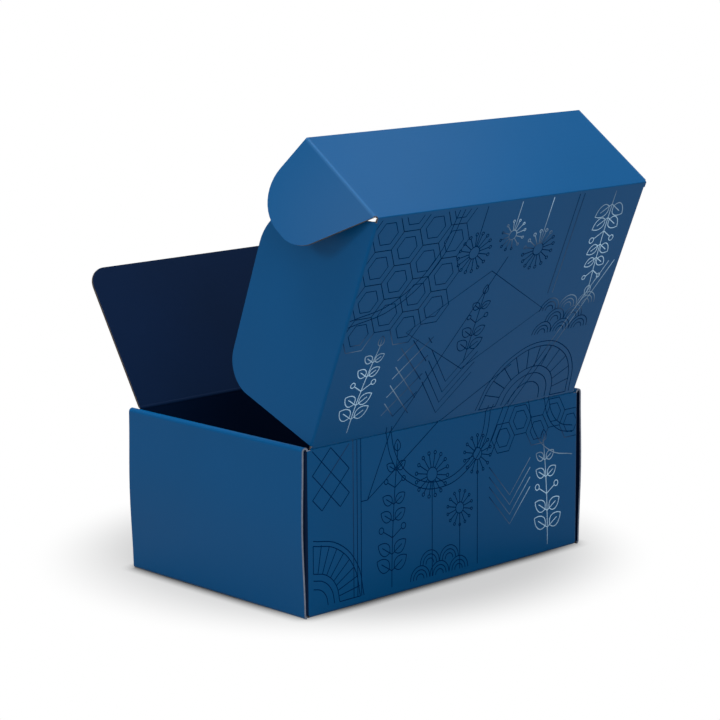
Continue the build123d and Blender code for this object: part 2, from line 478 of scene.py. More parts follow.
quarter = [
    (BASE_X, BASE_Y), (FLAP_TURN, BASE_Y), (FLAP_TURN, WALL_Y),
    (FLAP_END, WALL_Y, CORNER_FLAP_RADIUS), (FLAP_END, TOP_Y, CORNER_FLAP_RADIUS),
]
rear_half = quarter + [(-c[0], *c[1:]) for c in reversed(quarter)]
ends = cut_panel(rear_half + [(-c[0], -c[1], *c[2:]) for c in rear_half])
score(ends, zone(BASE_Y, BEND_ARC, STEPS) + zone(-BASE_Y, -BEND_ARC, STEPS), "y")
score(ends, zone(FLAP_TURN, CORNER_ARC, STEPS) + zone(-FLAP_TURN, -CORNER_ARC, STEPS), "x")
print("the strip of base and walls is", round(2 * TOP_Y, 1), "mm long")

# %% [markdown]
# The lining of each side wall locks into the base with two tabs. Their slots are cut while the sheet
# is still flat: score lines bound each slot on all sides, and the face between them is deleted. That
# leaves clean cut edges, and a boolean isn't needed.

# %% Cut the lock slots
SLOT_X, SLOT_HALF = INNER_HALF + BOARD / 2, BOARD / 2 + LAYER_GAP
SLOT_Y, SLOT_LONG = TAB_SPACING / 2, TAB_WIDTH / 2 + SLIP
score(ends, [way * (SLOT_X + side * SLOT_HALF) for way in (-1, 1) for side in (-1, 1)], "x")
score(ends, [way * SLOT_Y + side * SLOT_LONG for way in (-1, 1) for side in (-1, 1)], "y")
slots = [
    f for f in ends.faces
    if abs(abs(f.calc_center_median().x) - SLOT_X) < SLOT_HALF
    and abs(abs(f.calc_center_median().y) - SLOT_Y) < SLOT_LONG
]
print("slots cut in the base:", len(slots), "faces")
bmesh.ops.delete(ends, geom=slots, context="FACES")

# %% [markdown]
# The corner flaps stand inside the side walls. Only the first facet of their bend is seen as blue.
# The rest of their outer face is given the navy print as painted shade, so that the slit beside the rear
# wall reads as dark as the hollow that it opens into. The corner flaps are folded first and then the
# walls, as a packer does it.

# %% Fold the corner flaps and the end walls
BLUE_EDGE = FLAP_TURN + CORNER_ARC / STEPS
thicken(ends)
for face in ends.faces:
    centre = face.calc_center_median()
    # beyond the first facet the flaps' outer faces get the navy as painted shade
    flap_in_painted_shade = abs(centre.x) > BLUE_EDGE and abs(centre.y) > WALL_Y
    if face.material_index == OUTSIDE and flap_in_painted_shade:
        face.material_index = INSIDE

for way in (1, -1):
    fold(
        ends, way * FLAP_TURN, way * CORNER_ARC, CORNER_RADIUS, 90, STEPS, along="x",
        only=lambda flat: abs(flat.y) > WALL_Y - TINY,
    )
for way in (1, -1):
    fold(ends, way * BASE_Y, way * BEND_ARC, FOLD_RADIUS, 90, STEPS)


def finish_board(bm, name, body=None, node=None):
    """Makes the piece, puts it on its body and hides the CAD node that it stands for."""
    piece = make_piece(bm, name, BOARD_SIDES)
    if body:
        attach(piece, body)
    if node:
        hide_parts(node)
    return piece


finish_board(ends, "base_and_end_walls", "tray", "tray")

# %% [markdown]
# ## The rolled side walls
#
# Each side wall goes up, rolls over at the top and comes down inside as a lining, which locks with
# two tabs into the base. So the blue print shows on both faces of the side wall, and the roll gives
# it the round, soft top edge that catches the light. It could be a box with a rounded top, but the
# raw end of the wall shows each layer, so the strip is rolled up as the packer rolls it.
#
# Board is springy. The outer layer leans out a little, so the roll is wider than the three layers
# need, and it bulges by about a millimetre at mid height. The lean follows from a straight line
# that touches two circles, the bend at the base and the roll.

# %% Sizes of the side walls
SPLAY = 0.7                                    # how far the outer layer springs out at the top
BOW = 1.3                                      # and how far it bulges at mid height
ROLL = ROLL_RADIUS + SPLAY / 2
CROWN = HEIGHT - ROLL                          # height of the roll's axis
OVER_X, OVER_Z = INNER_HALF + ROLL - BASE_X, CROWN - FOLD_RADIUS
WIDER = ROLL - FOLD_RADIUS
SIDE_LEAN = math.atan2(OVER_X, OVER_Z) + math.asin(WIDER / math.hypot(OVER_X, OVER_Z))
SIDE_LONG = math.sqrt(OVER_X**2 + OVER_Z**2 - WIDER**2)
FOOT_ARC = (BEND + BOARD / 2) * (math.pi / 2 - SIDE_LEAN)
ROLL_ARC = (ROLL - BOARD / 2) * (math.pi + SIDE_LEAN)
SIDE_AT = BASE_X + FOOT_ARC
ROLL_AT = SIDE_AT + SIDE_LONG
LINING_AT = ROLL_AT + ROLL_ARC
FOOT_AT = LINING_AT + CROWN - BOARD - FOOT_GAP
TAB_END = LINING_AT + CROWN - TAB_LIFT
LINING_HALF = DEPTH / 2 - FOLD_RADIUS          # the lining ends where the end walls' bends begin
print("the side walls lean out by", round(math.degrees(SIDE_LEAN), 2), "degrees")

# %% [markdown]
# The right wall is made first. The left one is its mirror image, so its normals are worked out
# again, because a mirrored mesh is inside out.

# %% Side walls
ROLL_STEPS, BOW_STEPS = 14, 10


def side_wall(way, name):
    """Rolls up the right side wall (way 1) or the left one (way -1)."""
    far, near = (TAB_SPACING + TAB_WIDTH) / 2, (TAB_SPACING - TAB_WIDTH) / 2
    edge = [
        (BASE_X, DEPTH / 2), (LINING_AT, DEPTH / 2), (LINING_AT, LINING_HALF),
        (FOOT_AT, LINING_HALF), (FOOT_AT, far), (TAB_END, far, TAB_RADIUS),
        (TAB_END, near, TAB_RADIUS), (FOOT_AT, near),
    ]
    bm = cut_panel(edge + [(c[0], -c[1], *c[2:]) for c in reversed(edge)])
    score(bm, zone(BASE_X, FOOT_ARC, STEPS)[1:] + zone(ROLL_AT, ROLL_ARC, ROLL_STEPS), "x")
    score(bm, [SIDE_AT + SIDE_LONG * i / BOW_STEPS for i in range(1, BOW_STEPS)], "x")
    thicken(bm)
    lean = math.degrees(SIDE_LEAN)
    fold(bm, ROLL_AT, ROLL_ARC, ROLL, 180 + lean, ROLL_STEPS, along="x")
    fold(bm, BASE_X, FOOT_ARC, FOLD_RADIUS, 90 - lean, STEPS, along="x")
    flat = bm.verts.layers.float_vector["flat_place"]
    for vert in bm.verts:
        if SIDE_AT < vert[flat].x / MM < ROLL_AT:
            vert.co.x += BOW * math.sin(math.pi * vert.co.z / HEIGHT) ** 2
    if way < 0:
        bmesh.ops.scale(bm, vec=(-1, 1, 1), verts=bm.verts[:])
        bmesh.ops.recalc_face_normals(bm, faces=bm.faces[:])
    finish_board(bm, name, "tray")


side_wall(1, "side_wall_right")
side_wall(-1, "side_wall_left")

# %% [markdown]
# ## The folds of the moving panels
#
# Every loose panel is cut flat at its own place on the sheet and then carried through the folds
# between it and the base, the nearest to it first. A crease has three facts: where it starts, how
# much of the sheet it takes up, and how high its axis lies over the printed face. An axis in the
# middle of the board suits a fold that turns both ways. An axis just over the inner face suits one
# whose panel folds flat against another. The angles are those that the box stands at.

# %% Creases and how they stand
MID, OVER = BOARD / 2, BOARD + AXIS_INSET      # heights of an axis over the printed face
WING_ARC = (OVER - MID) * math.radians(90)     # this arc is taken at the middle of the board
TUCK_ARC = MID / 2 * math.radians(TUCK_FOLD)   # and this one halfway from the axis to the print
EAR_ARC = MID / 2 * math.radians(EAR_FOLD)
TUCK_PANEL = TUCK_AT + TUCK_ARC
TAIL = BOARD                                   # the flat margin of a crease on both sides
HINGE_LOW, HINGE_TOP = SHOULDER - HINGE_Z, FACE_ROOT    # both ends of the strip, from its axis
HINGE_STEPS = 8


def stand(bm, way=1):
    """Carries what lies beyond the lid's crease, or the front flap's, to where it stands."""
    lean = LID_LEAN if way > 0 else FLAP_LEAN
    low, high = HINGE_AT + HINGE_LOW, HINGE_AT + HINGE_TOP
    fold(bm, way * low, way * (high - low), OVER, -lean, HINGE_STEPS, pivot=way * HINGE_AT)
    fold(bm, way * BASE_Y, way * BEND_ARC, FOLD_RADIUS, 90, STEPS)


print("a crease between lid and wing takes up", round(WING_ARC, 2), "mm of the sheet")

# %% [markdown]
# ## The lid
#
# The lid is a plain panel with straight edges. It stops one board short of each crease, because the
# creases are pieces of their own that bend. Beyond the wings' creases it runs out to the wings'
# full width, as the board does at those corners.

# %% Lid
LID_CORNER = WING_HALF                         # beside the small hole between lid, wing and ear
CORNER_ROUND = 0.5
lid_side = [
    (LID_HALF, HINGE_AT + FACE_ROOT), (LID_HALF, HINGE_AT + WING_START),
    (LID_HALF - TAIL, HINGE_AT + WING_START), (LID_HALF - TAIL, HINGE_AT + WING_ROOT),
    (LID_CORNER, HINGE_AT + WING_ROOT, CORNER_ROUND), (LID_CORNER, TUCK_AT - TAIL),
]
lid = thicken(cut_panel(lid_side + [(-c[0], *c[1:]) for c in reversed(lid_side)]))
stand(lid)
finish_board(lid, "lid_panel", "lid", "lid")

# %% [markdown]
# ## The wings
#
# A wing goes down inside each side wall when the box is shut. Its free corners are cut with large
# radii, so that it finds its way in, and it narrows a little towards the tuck flap. One function
# makes both: it mirrors the corners on the flat sheet, so no finished mesh is turned inside out.

# %% Wings
WING_AT = LID_HALF + WING_ARC


def wing(way, node):
    """Cuts and folds the right wing (way 1) or the left one (way -1)."""
    slope = (WING_ROOT - WING_PEAK) / (WING_REACH - CREASE_GAP)
    corners = [
        (TAIL, WING_START), (WING_REACH - WING_TAPER, WING_START, WING_REAR_RADIUS),
        (WING_REACH, WING_PEAK, WING_FRONT_RADIUS), (TAIL, WING_ROOT - slope * (TAIL - CREASE_GAP)),
    ]
    bm = thicken(cut_panel([(way * (WING_AT + c[0]), HINGE_AT + c[1], *c[2:]) for c in corners]))
    fold(bm, way * LID_HALF, way * WING_ARC, OVER, 90, STEPS, along="x")
    stand(bm)
    finish_board(bm, node + "_panel", node, node)


wing(1, "wing_right")
wing(-1, "wing_left")

# %% [markdown]
# ## The tuck flap and its ears
#
# The tuck flap goes behind the front wall when the box is shut. It is a plain strip, and its short
# ends stop one board short too, since the ears are joined on there.

# %% Tuck flap
def carry_tuck(bm):
    """Carries what lies beyond the tuck crease to where it stands."""
    fold(bm, TUCK_AT, TUCK_ARC, MID, TUCK_FOLD, STEPS)
    stand(bm)


tuck_side = [
    (TUCK_HALF, TUCK_PANEL + TAIL), (TUCK_HALF, TUCK_PANEL + EAR_START),
    (TUCK_HALF - TAIL, TUCK_PANEL + EAR_START), (TUCK_HALF - TAIL, TUCK_PANEL + TUCK_LENGTH),
]
tuck = thicken(cut_panel(tuck_side + [(-x, y) for x, y in reversed(tuck_side)]))
carry_tuck(tuck)
finish_board(tuck, "tuck_panel", "tuck_flap", "tuck_flap")

# %% [markdown]
# The two ears slide into the gaps at the ends of the tray. An ear is slanted beside the lid, because
# it swings past the lid's corner, and its free corners are round so that they slip in.

# %% Ears
EAR_AT = TUCK_HALF + EAR_ARC


def ear(way, node):
    """Cuts and folds the right ear (way 1) or the left one (way -1)."""
    lead = EAR_DEPTH * math.tan(math.radians(EAR_SLOPE))
    first = BOARD / 2 + CREASE_GAP
    begin = EAR_START + lead * (TAIL - first) / (EAR_DEPTH - first)
    corners = [
        (TAIL, begin), (EAR_DEPTH, EAR_START + lead, EAR_REAR_RADIUS),
        (EAR_DEPTH, TUCK_LENGTH, EAR_FRONT_RADIUS), (TAIL, TUCK_LENGTH),
    ]
    bm = thicken(cut_panel([(way * (EAR_AT + c[0]), TUCK_PANEL + c[1], *c[2:]) for c in corners]))
    fold(bm, way * TUCK_HALF, way * EAR_ARC, MID, EAR_FOLD, STEPS, along="x")
    carry_tuck(bm)
    finish_board(bm, node + "_panel", node, node)


ear(1, "ear_right")
ear(-1, "ear_left")

# %% [markdown]
# ## The front flap
#
# The front flap lines the front wall when it is folded in. It stands open here and shows its navy
# inside, which makes it the darkest large face of the box.

# %% Front flap
FLAP_ROOT, FLAP_FAR = -HINGE_AT - FACE_ROOT, -HINGE_AT - FLAP_LENGTH
front = thicken(cut_panel([
    (FLAP_HALF, FLAP_ROOT), (-FLAP_HALF, FLAP_ROOT),
    (-FLAP_HALF, FLAP_FAR, FLAP_RADIUS), (FLAP_HALF, FLAP_FAR, FLAP_RADIUS),
]))
stand(front, -1)
finish_board(front, "front_flap_panel", "front_flap", "front_flap")

# %% [markdown]
# ## The creases
#
# Where two moving panels meet, the board itself bends. The panels could run up to each other with a
# hairline between them, but then a gap would open or close in every other pose. So a strip one board
# wider than the bend on both sides is cut from the same sheet and folded with it.

# %% Finish a crease
def blended(bm, name, along, way):
    """Finishes a crease. Its two edge rows say where the bend begins and ends."""
    flat = bm.verts.layers.float_vector["flat_place"]
    places = [way * v[flat][INDEX[along]] for v in bm.verts]
    low, high = min(places) + TINY * MM, max(places) - TINY * MM
    near = [v.co * MM for v in bm.verts if way * v[flat][INDEX[along]] < low]
    far = [v.co * MM for v in bm.verts if way * v[flat][INDEX[along]] > high]
    middle = [sum(rows, Vector()) / len(rows) for rows in (near, far)]
    d = (middle[1] - middle[0]).normalized()
    start = middle[0] + d * max(d.dot(p - middle[0]) for p in near)
    end = middle[0] + d * min(d.dot(p - middle[0]) for p in far)
    piece = finish_board(bm, name)
    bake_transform(piece)
    print(name, "bends over", round((end - start).length / MM, 2), "mm")
    return start, end


# %% [markdown]
# A crease with its axis in the middle of the board has a score pressed into its inner side. There the
# inner face is brought down almost to the axis, which leaves room for the panels to close up. A bend
# also strains the print on its outer side and turns it pale, and the same pale tone stands in as a
# painted highlight on the bend. The vertices of the bend carry that share, and those beside it a third
# of it, so that the pale line fades out over the panel.

# %% Make one crease
CREASE_STEPS = 10
LIP = 0.9                                      # from the bend to the row where the strain ends
GROOVE = 0.05                                  # how far a score stops over its axis
STRAIN_AND_SHEEN_BESIDE = 0.35                           # the share of the strain at the row beside a bend


def crease(name, start, arc, height, angle, side, along, carry, way=1, strain_and_sheen=0.0):
    """A crease folded by an angle. side is where it begins and ends along its own line."""
    first, last = start - way * TAIL, start + way * (arc + TAIL)
    across = [(first, side[0]), (last, side[0]), (last, side[1]), (first, side[1])]
    bm = cut_panel(across if along == "x" else [(y, x) for x, y in across])
    lines = [start + way * arc * i / CREASE_STEPS for i in range(CREASE_STEPS + 1)]
    score(bm, [start - way * LIP, *lines, start + way * (arc + LIP)], along)
    thicken(bm)
    # the share kept here is strained print and a painted highlight together
    stretch_and_sheen = bm.verts.layers.float.new("stretch_and_sheen")
    turning = []
    for vert in bm.verts:
        beyond = way * (vert.co[INDEX[along]] - start)
        if -TINY < beyond < arc + TINY:
            turning.append(vert)
            vert[stretch_and_sheen] = strain_and_sheen
        elif -LIP - TINY < beyond < arc + LIP + TINY:
            vert[stretch_and_sheen] = strain_and_sheen * STRAIN_AND_SHEEN_BESIDE
    if height < BOARD:
        pressed = [v for v in turning if v.co.z > MID]
        bmesh.ops.translate(bm, vec=(0, 0, height + GROOVE - BOARD), verts=pressed)
    fold(bm, start, way * arc, height, angle, CREASE_STEPS, along=along)
    carry(bm)
    blended(bm, name, along, way)


# %% [markdown]
# Only the creases of the ears show a pale line of strained print, which is partly a painted highlight.
# The tuck crease runs across the whole lid, out to its corners.

# %% Creases of the wings, the ears and the tuck flap
# the pale line on the ears' creases: strained print and painted highlight
EAR_STRAIN_AND_SHEEN = 0.22
for way, side in ((1, "right"), (-1, "left")):
    crease(
        "wing_crease_" + side, way * LID_HALF, WING_ARC, OVER, 90,
        (HINGE_AT + WING_START, HINGE_AT + WING_ROOT), "x", stand, way,
    )
    crease(
        "ear_crease_" + side, way * TUCK_HALF, EAR_ARC, MID, EAR_FOLD,
        (TUCK_PANEL + EAR_START, TUCK_PANEL + TUCK_LENGTH), "x", carry_tuck, way, EAR_STRAIN_AND_SHEEN,
    )
crease(
    "tuck_crease", TUCK_AT, TUCK_ARC, MID, TUCK_FOLD,
    (-LID_CORNER, LID_CORNER), "y", stand,
)

# %% [markdown]
# The lid and the front flap are folded back past upright, so their creases are open on the printed
# side, and the creasing rule has left a pressed line there that reads as a soft dark stripe. Their
# strips keep their length and turn about the crease's axis just over the inner face.

# %% Creases of the lid and the front flap
VALLEY, VALLEY_FLOOR, VALLEY_DEPTH = 0.5, 0.45, 0.55    # half widths of the pressed line, and depth


def score_hinge(bm, way=1):
    """The rows of the lid's crease, or the front flap's, with four more at the pressed line."""
    low, high, line = HINGE_AT + HINGE_LOW, HINGE_AT + HINGE_TOP, way * HINGE_AT
    score(bm, [way * (low + (high - low) * i / HINGE_STEPS) for i in range(1, HINGE_STEPS)], "y")
    score(bm, [line - VALLEY, line - VALLEY / 3, line + VALLEY / 3, line + VALLEY], "y")


def press_valley(bm, way=1):
    """Presses the printed side in along the crease's line, as the creasing rule does."""
    deep = [v for v in bm.verts if v.co.z < MID and abs(v.co.y - way * HINGE_AT) < VALLEY_FLOOR]
    bmesh.ops.translate(bm, vec=(0, 0, VALLEY_DEPTH), verts=deep)


for way, name, body, reach in (
    (1, "lid_crease", "lid", LID_HALF + BOARD),
    (-1, "front_flap_crease", "front_flap", FLAP_HALF),
):
    low, high = way * (HINGE_AT + HINGE_LOW), way * (HINGE_AT + HINGE_TOP)
    strip = cut_panel([(reach, low), (reach, high), (-reach, high), (-reach, low)])
    score_hinge(strip, way)
    thicken(strip)
    press_valley(strip, way)
    stand(strip, way)
    blended(strip, name, "y", way)

# %% [markdown]
# ## The line drawing on the lid and the rear wall
#
# The lid and the rear wall carry one large drawing in thin lines, which runs on over the hinge. It
# is printed in a navy ink that turns to silver in places. Its motifs are common ones: round-leaved
# sprigs, seed heads, scallops, hexagons and rays.
#
# A picture file could hold it, but lines drawn as curves stay sharp at any distance. They are drawn
# on the flat sheet as it is seen from behind the box, where the box's right side is on the left. u
# runs to the reader's right and v up, from the base's underside.

# %% Draw lines on the flat sheet
LINE_HALF = 0.28                               # half the width of a printed line
SHEET_FOOT = WALL_Y - FOLD_RADIUS              # where v is 0 on the flat sheet
CURVE_STEPS = 5                                # straight pieces between two points of a curve
ARC_STEP = 30                                  # about how many degrees between two points of a circle
drawing = bpy.data.curves.new("drawing", "CURVE")
drawing.dimensions = "3D"
drawing.bevel_depth, drawing.bevel_resolution = LINE_HALF, 0


def stroke(points, smooth=True, closed=False):
    """Adds one printed line through (u, v) points, curved or straight."""
    spline = drawing.splines.new("BEZIER" if smooth else "POLY")
    knots = spline.bezier_points if smooth else spline.points
    knots.add(len(points) - 1)
    for knot, (u, v) in zip(knots, points):
        place = (-u, SHEET_FOOT + v, 0)
        if smooth:
            knot.co = place
            knot.handle_left_type = knot.handle_right_type = "AUTO"
        else:
            knot.co = (*place, 1)
    spline.use_cyclic_u = closed
    spline.resolution_u = CURVE_STEPS


def around(u, v, radius, degrees):
    """The point of a circle at an angle from the u direction."""
    a = math.radians(degrees)
    return (u + radius * math.cos(a), v + radius * math.sin(a))


def arc(u, v, radius, first=0, last=360):
    """A circle, or a part of one."""
    full = last - first >= 360
    count = max(3, round((last - first) / ARC_STEP))
    angles = [first + (last - first) * i / count for i in range(count if full else count + 1)]
    stroke([around(u, v, radius, a) for a in angles], closed=full)


# %% [markdown]
# A leaf is two curves from its foot to its tip, with its midrib. A sprig sets leaves in pairs along
# a bent stem, each pair a little smaller than the one below, and ends in one leaf. Every third pair
# is berries on short stalks. All measures are shares of the leaf's length, so that one shape serves
# every size.

# %% Leaves and sprigs
LEAF_FOOT, LEAF_WIDTH, MIDRIB = 0.16, 0.56, 0.7
LEAF_SIDE = ((0.34, 0.86), (0.56, 1.0), (0.8, 0.66))    # along the leaf, and of its half width there
LEAF_ANGLE = 58                                # from the stem, in degrees
TIP_LEAF, SHRINK = 0.6, 0.5
STALK, BERRY_AT, BERRY = 0.7, 0.85, 0.15


def leaf(u, v, length, degrees):
    """One round leaf that grows from a point of the stem."""
    foot, tip = around(u, v, LEAF_FOOT * length, degrees), around(u, v, length, degrees)
    for turn in (90, -90):
        sides = []
        for share, wide in LEAF_SIDE:
            on_rib = around(u, v, share * length, degrees)
            sides.append(around(*on_rib, wide * LEAF_WIDTH * length / 2, degrees + turn))
        stroke([foot, *sides, tip])
    stroke([(u, v), around(u, v, MIDRIB * length, degrees)], smooth=False)


def sprig(u, v, height, pairs, size, lean=0.0, down=False):
    """A stem with pairs of leaves and berries, growing up, or down from the top edge."""
    way = -1 if down else 1
    stem = [(u + lean * (i / pairs) ** 2, v + way * height * i / pairs) for i in range(pairs + 1)]
    stroke(stem)
    for i, (x, y) in enumerate(stem[1:-1]):
        here = size * (1 - SHRINK * i / pairs)
        for side in (-1, 1):
            angle = way * 90 + side * LEAF_ANGLE
            if i % 3 == 2:
                stroke([(x, y), around(x, y, here * STALK, angle)], smooth=False)
                arc(*around(x, y, here * BERRY_AT, angle), here * BERRY)
            else:
                leaf(x, y, here, angle)
    leaf(*stem[-1], size * TIP_LEAF, way * 90)


# %% [markdown]
# A seed head is a ring of fine rays with a small ball on each, as on a flower of garlic or parsley.

# %% Seed heads
HEART, RAY_END, BALL_AT, BALL = 0.3, 0.86, 0.93, 0.07    # shares of the head's radius


def seed_head(u, v, stem_end, radius, rays):
    """A seed head about (u, v), on a straight stem from the height stem_end."""
    side = math.copysign(1, stem_end - v)
    stroke([(u, v + side * radius * HEART), (u, stem_end)], smooth=False)
    arc(u, v, radius * HEART)
    for i in range(rays):
        angle = 360 * (i + 0.5) / rays
        ray = [around(u, v, radius * HEART, angle), around(u, v, radius * RAY_END, angle)]
        stroke(ray, smooth=False)
        arc(*around(u, v, radius * BALL_AT, angle), radius * BALL)


# %% [markdown]
# Behind the plants lies a net of plain geometry: hexagons one inside another, scallops in rows,
# nested chevrons, fans of rays between two arcs, and lattices of diagonals.

# %% Hexagons, scallops and chevrons
HEXAGON_RINGS, SCALLOP_RINGS = (1.0, 0.62), (1.0, 0.7, 0.4)


def hexagons(u, v, size, columns, rows):
    """Columns of double hexagons, every other column half a step higher."""
    for i in range(columns):
        for j in range(rows):
            x, y = u + 1.5 * size * i, v + math.sqrt(3) * size * (j + 0.5 * (i % 2))
            for share in HEXAGON_RINGS:
                corners = [around(x, y, share * size, 60 * k) for k in range(6)]
                stroke(corners, smooth=False, closed=True)


def scallops(u, v, radius, columns, rows):
    """Rows of triple half circles, every other row shifted by half a scallop."""
    for j in range(rows):
        for i in range(columns - j % 2):
            x, y = u + radius * (2 * i + j % 2), v + radius * j
            for share in SCALLOP_RINGS:
                arc(x, y, share * radius, 0, 180)


def chevrons(u, v, width, rise, count, gap):
    """Nested chevrons that point down, a gap apart."""
    for i in range(count):
        low = v + i * gap
        stroke([(u - width / 2, low + rise), (u, low), (u + width / 2, low + rise)], smooth=False)


# %% Fans and lattices
ARCS_INSIDE, ARCS_OUTSIDE = (0.55, 0.8, 1.0), (1.0, 1.08)    # shares of a fan's two radii


def fan(u, v, inner, outer, first, last, rays):
    """Rays between an inner and an outer arc, with three more arcs beside those."""
    for radius in [inner * share for share in ARCS_INSIDE] + [outer * share for share in ARCS_OUTSIDE]:
        arc(u, v, radius, first, last)
    for i in range(rays + 1):
        angle = first + (last - first) * i / rays
        stroke([around(u, v, inner, angle), around(u, v, outer, angle)], smooth=False)


def lattice(left, bottom, right, top, step):
    """Two sets of diagonals within a rectangle."""
    for way in (1, -1):
        start = left - (top - bottom)
        while start < right + (top - bottom):
            tips = []
            for v in (bottom, top):
                u = start + way * (v - bottom)
                kept = min(max(u, left), right)
                tips.append((kept, v + way * (kept - u)))
            if tips[0][1] < tips[1][1] - step / 4:
                stroke(tips, smooth=False)
            start += step


# %% [markdown]
# The drawing is then composed in millimetres, as a printer's sheet would be marked up: each line
# below places one motif. On the rear wall they go from left to right.

# %% Draw the rear wall
fan(-108, 5, 20, 36, 0, 90, 9)
lattice(-108, 60, -80, 95, 14)
for line in (-77, -74, -71):
    stroke([(line, 5), (line, 96.5)], smooth=False)
sprig(-47, 5, 78, 8, 14, lean=5)
for radius in (40, 44):
    arc(-8, 101, radius, 180, 360)
seed_head(-14, 66, 5, 14, 16)
seed_head(9, 42, 5, 11, 14)
seed_head(24, 72, 5, 12, 14)
scallops(-24, 5, 8, 3, 2)
chevrons(52, 24, 36, 20, 4, 6)
hexagons(46, 78, 10, 5, 1)
sprig(86, 5, 64, 6, 14, lean=-4)
for radius in (22, 26, 40):
    arc(108, 98, radius, 180, 270)
print("lines on the rear wall:", len(drawing.splines))

# %% [markdown]
# Long straight lines run over the hinge, and show that the lid and the rear wall are one sheet. The
# lid's motifs follow, from its lower left to its upper right.

# %% Draw over the hinge and on the lid
stroke([(-66, 60), (-30, 132), (6, 204)], smooth=False)
stroke([(-71, 60), (-66, 60), (40, 128)], smooth=False)
stroke([(36, 70), (70, 130), (104, 190)], smooth=False)
stroke([(32, 72), (66, 132), (99, 190)], smooth=False)
sprig(-84, 103, 54, 6, 13, lean=6)
hexagons(-98, 168, 12, 4, 4)
for radius in (62, 66):
    arc(-108, 240, radius, 270, 360)
lattice(-60, 108, -36, 158, 12)
chevrons(-14, 104, 40, 24, 4, 7)
sprig(-4, 136, 44, 5, 12)
stroke([(-60, 164), (-4, 196), (52, 164), (-4, 132)], smooth=False, closed=True)
fan(62, 99, 24, 38, 0, 180, 12)
scallops(58, 146, 8, 3, 3)
seed_head(-24, 210, 240, 13, 16)
seed_head(4, 218, 240, 10, 12)
seed_head(30, 206, 240, 13, 16)
for line in (52, 56):
    stroke([(line, 174), (line, 240)], smooth=False)
sprig(84, 238, 62, 7, 14, lean=4, down=True)
print("lines in the drawing:", len(drawing.splines))

# %% [markdown]
# The curves become one mesh, are pressed flat to a film of ink, cut at the panels' margins, and then
# go through the same folds as the board under them. Ink on the hinge bends with the hinge, so the
# mesh is split there in three. How silver a line is fades with the distance from a few places, and
# that share is kept on the mesh.

# %% Make the ink films
SILVER_AT = [(-84, 130, 36), (86, 200, 44), (86, 34, 40), (20, 236, 30)]    # u, v and how far
SILVER_STRENGTH = 1.6                          # over 1, so that the middle of a place is even
INK_LIFT = 0.03                                # between the board and the middle of the film
INK_PRESSED = 0.05                             # the share of a round line's height that is left

sketch = bpy.data.objects.new("drawing", drawing)
bpy.context.scene.collection.objects.link(sketch)
bpy.context.view_layer.update()
depsgraph = bpy.context.evaluated_depsgraph_get()
flat_ink = bpy.data.meshes.new_from_object(sketch.evaluated_get(depsgraph))
bpy.data.objects.remove(sketch)


def ink_film(bottom, top, side):
    """The drawing between two places on the sheet, thin, folded and ready to be made a piece."""
    bm = bmesh.new()
    bm.from_mesh(flat_ink)
    bmesh.ops.scale(bm, vec=(1, 1, INK_PRESSED), verts=bm.verts[:])
    bmesh.ops.translate(bm, vec=(0, 0, -INK_LIFT), verts=bm.verts[:])
    for along, place, way in (("x", side, 1), ("x", -side, -1), ("y", top, 1), ("y", bottom, -1)):
        bmesh.ops.bisect_plane(
            bm, geom=bm.verts[:] + bm.edges[:] + bm.faces[:], clear_outer=True,
            plane_co=UNIT[along] * place, plane_no=UNIT[along] * way,
        )
    score_hinge(bm)
    flat = bm.verts.layers.float_vector.new("flat_place")
    silver = bm.verts.layers.float.new("silver")
    for vert in bm.verts:
        vert[flat] = vert.co * MM
        u, v = -vert.co.x, vert.co.y - SHEET_FOOT
        nearest = min(math.hypot(u - a, v - b) / reach for a, b, reach in SILVER_AT)
        vert[silver] = max(0.0, SILVER_STRENGTH * (1 - nearest))
    press_valley(bm)
    stand(bm)
    return bm


# %% [markdown]
# Both inks are one material, printed on top of the film, and both are dull: the eye sees the same
# tone from any side. The navy is a flat, dark line. The silver is a fine pigment in varnish, which
# prints as a pale blue grey and breaks up a little where it thins out. Its flakes are far too small
# to show, so the noise that breaks it is drawn at 4 mm.

# %% Navy and silver ink
SPECKS = 4 * MM
SPECK_RANGE, SPECK_FLOOR = 0.8, 0.6            # the noise keeps from 0.6 to 1.4 of the silver


def line_inks():
    """Navy, which turns to silver by the share that is kept on the mesh."""
    material, tree = new_material("navy_and_silver_line_ink")
    place = add(tree, "Attribute", attribute_name="flat_place").outputs["Vector"]
    share = add(tree, "Attribute", attribute_name="silver").outputs["Fac"]
    specks = add(tree, "TexNoise", {"Vector": place}, {"Scale": 1 / SPECKS, "Detail": 3.0})
    broken = add(
        tree, "Math", {0: specks.outputs["Fac"]}, {1: SPECK_RANGE, 2: SPECK_FLOOR},
        operation="MULTIPLY_ADD",
    )
    summed = add(tree, "Math", {0: share, 1: broken.outputs[0]}, operation="MULTIPLY", use_clamp=True)
    tone = add(tree, "Mix", {"Factor": summed.outputs[0]}, data_type="RGBA")
    tone.inputs["A"].default_value = linear("#00244d")
    tone.inputs["B"].default_value = linear("#b8ddf9")
    bump = add(
        tree, "Bump", {"Height": specks.outputs["Fac"]}, {"Strength": 0.2, "Distance": 0.02 * MM}
    )
    surface = add(
        tree, "BsdfPrincipled", {"Base Color": tone.outputs["Result"], "Normal": bump.outputs["Normal"]},
        {"Roughness": 0.5, "IOR": 1.5, "Specular IOR Level": 0.0},
    )
    add(tree, "OutputMaterial", {"Surface": surface.outputs["BSDF"]})
    return material


# %% [markdown]
# Now the three films are made. The ones on the rear wall and the lid each ride on one body. The one on
# the hinge covers the same length as the lid's crease and stays where it is folded.

